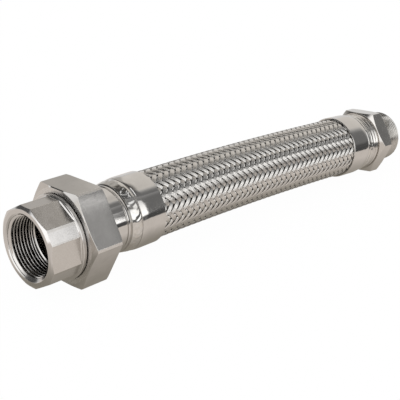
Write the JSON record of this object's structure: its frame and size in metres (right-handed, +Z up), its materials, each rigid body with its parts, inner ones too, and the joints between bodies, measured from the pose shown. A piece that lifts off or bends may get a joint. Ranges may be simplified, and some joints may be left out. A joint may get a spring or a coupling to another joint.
{
  "type": "flexible connector hose",
  "caption": "Braided corrugated metal hose with a union end that has a female pipe thread and a hex nipple end that has a male pipe thread.",
  "frame": {"origin": "on the axis of the female pipe thread, where its full wall starts, 2.1 mm inside the mouth's face", "axes": "+X along the female end's axis into the hose; +Z up as the hose lies on a level surface, with the union nut on one flat; -X is the way a pipe leaves the female thread"},
  "size_m": [0.3696, 0.0759, 0.063],
  "materials": {
    "machined_stainless": "fine turned, satin",
    "nut_stainless": "satin, lightly cast",
    "turned_stainless": "turned, polished",
    "weld_metal": "rippled weld, bright",
    "polished_stainless": "polished",
    "hose_stainless": "formed, bright",
    "braid_wire": "bright drawn wire",
    "nipple_stainless": "turned, polished"
  },
  "bodies": {
    "hose": {"union_tail": "turned_stainless", "near_weld_bead": "weld_metal", "near_ferrule": "polished_stainless", "corrugated_hose": "hose_stainless", "wire_braid": "braid_wire", "far_ferrule": "polished_stainless", "far_weld_bead": "weld_metal", "hex_nipple": "nipple_stainless"},
    "nut": {"union_nut": "nut_stainless"},
    "female_end": {"female_union_end": "machined_stainless"}
  },
  "joints": [
    {"name": "nut_turn", "type": "hinge", "parent": "hose", "child": "nut", "pos_m": [0.033, 0, 0], "axis": [1, 0, 0], "range_deg": [0, 1440]},
    {"name": "union_part", "type": "slide", "parent": "hose", "child": "female_end", "axis": [-1, 0, 0], "range_m": [0, 0.0081]}
  ],
  "couplings": [
    {"joint": "union_part", "follows": "nut_turn", "m_per_rad": 0.00031831}
  ]
}
